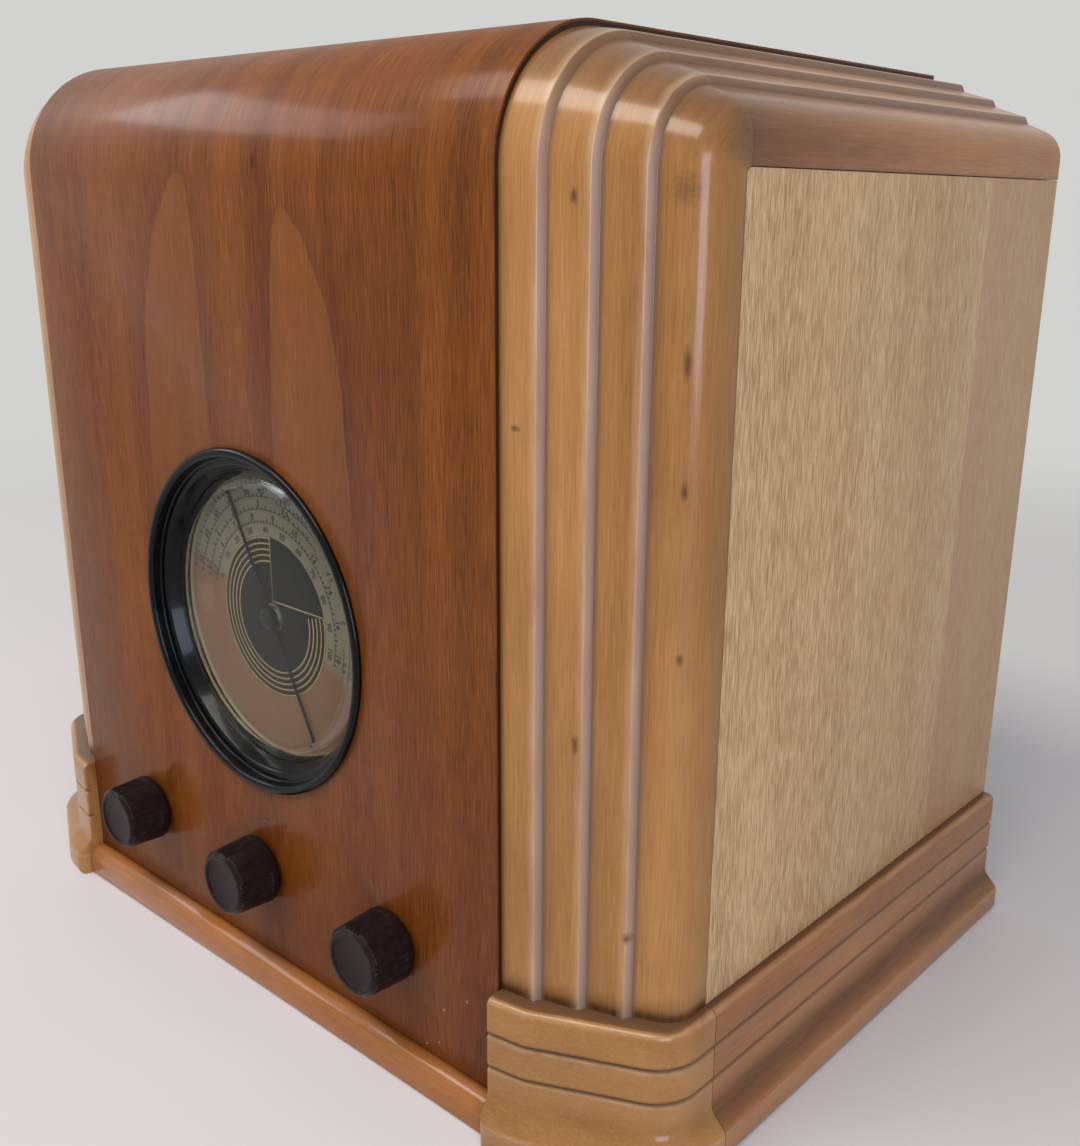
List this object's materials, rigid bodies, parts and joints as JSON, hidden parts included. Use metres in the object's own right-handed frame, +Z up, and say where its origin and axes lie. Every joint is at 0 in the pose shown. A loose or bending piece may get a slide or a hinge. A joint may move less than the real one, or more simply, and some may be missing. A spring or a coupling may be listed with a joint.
{
  "type": "tombstone radio",
  "caption": "Upright wooden table radio with a bent front panel, stepped maple corners, round glazed dial, fluted knobs and an open-backed chassis with its loudspeaker.",
  "frame": {"origin": "Middle of the footprint, on the table", "axes": "+X to the right seen from the front, -Y out of the front with the dial and knobs, +Z up"},
  "size_m": [0.383, 0.265, 0.345],
  "materials": {
    "walnut": "gloss lacquer",
    "maple": "gloss lacquer",
    "stained_maple": "gloss lacquer",
    "side_veneer": "satin lacquer",
    "plywood": "bare",
    "grille_cloth": "woven",
    "cone_paper": "pressed paper",
    "drive_cord": "waxed",
    "black_enamel": "gloss",
    "plated_steel": "cadmium plated",
    "aluminium": "satin",
    "brass": "satin",
    "dial_glass": "clear",
    "bulb_glass": "clear",
    "printed_dial": "matt print",
    "anode_metal": "carbonised",
    "bakelite": "worn gloss",
    "phenolic": "satin",
    "rubber": "matt"
  },
  "bodies": {
    "cabinet": {"front_panel": "walnut", "left_corner_post": "maple", "right_corner_post": "maple", "left_top_rail": "stained_maple", "right_top_rail": "stained_maple", "left_side_panel": "side_veneer", "right_side_panel": "side_veneer", "left_base_corner": "maple", "right_base_corner": "maple", "left_base_side": "stained_maple", "right_base_side": "stained_maple", "front_rail": "stained_maple", "bottom_board": "plywood", "baffle_cleats": "plywood", "speaker_baffle": "plywood", "grille_cloth": "grille_cloth", "speaker_frame": "plated_steel", "speaker_magnet": "black_enamel", "output_transformer": "plated_steel", "dial_bezel": "black_enamel", "dial_glass": "dial_glass", "dial_plate": "printed_dial", "dial_retainer": "plated_steel", "dial_lamps": "bulb_glass", "lamp_brackets": "plated_steel", "condenser_pedestal": "plated_steel", "condenser_frame": "plated_steel", "condenser_stators": "aluminium", "drive_cord": "drive_cord", "volume_control": "plated_steel", "band_switch": "phenolic", "tuning_bushing": "brass", "chassis_pan": "plated_steel", "chassis_bolts": "plated_steel", "power_transformer": "black_enamel", "filter_capacitor": "aluminium", "if_cans": "aluminium", "valve_sockets": "phenolic", "valve_bases": "bakelite", "valve_anodes": "anode_metal", "signal_bulbs": "bulb_glass", "output_bulb": "bulb_glass", "rectifier_bulb": "bulb_glass", "terminal_strip": "phenolic", "cord_grommet": "rubber"},
    "tuning_gang": {"condenser_rotor": "aluminium", "drive_drum": "brass", "dial_pointer": "black_enamel"},
    "tuning_control": {"tuning_knob": "bakelite", "tuning_shaft": "plated_steel"},
    "volume_turn": {"volume_knob": "bakelite", "volume_shaft": "plated_steel"},
    "band_turn": {"band_knob": "bakelite", "band_shaft": "plated_steel"},
    "cone": {"speaker_cone": "cone_paper"}
  },
  "joints": [
    {"name": "tuning_gang_turn", "type": "hinge", "parent": "cabinet", "child": "tuning_gang", "pos_m": [0, -0.1135, 0.148], "axis": [0, 1, 0], "range_deg": [-63, 117]},
    {"name": "tuning_knob_turn", "type": "hinge", "parent": "cabinet", "child": "tuning_control", "pos_m": [0, -0.1135, 0.0496], "axis": [0, 1, 0], "range_deg": [-480, 890]},
    {"name": "volume_turn", "type": "hinge", "parent": "cabinet", "child": "volume_turn", "pos_m": [-0.076, -0.1135, 0.0496], "axis": [0, 1, 0], "range_deg": [-150, 150]},
    {"name": "band_turn", "type": "hinge", "parent": "cabinet", "child": "band_turn", "pos_m": [0.076, -0.1135, 0.0496], "axis": [0, 1, 0], "range_deg": [0, 60]},
    {"name": "cone_travel", "type": "slide", "parent": "cabinet", "child": "cone", "axis": [0, 1, 0], "range_m": [-0.001, 0.001], "stiffness_N_per_m": 1000}
  ],
  "couplings": [
    {"joint": "tuning_knob_turn", "follows": "tuning_gang_turn", "ratio": 7.5385}
  ]
}
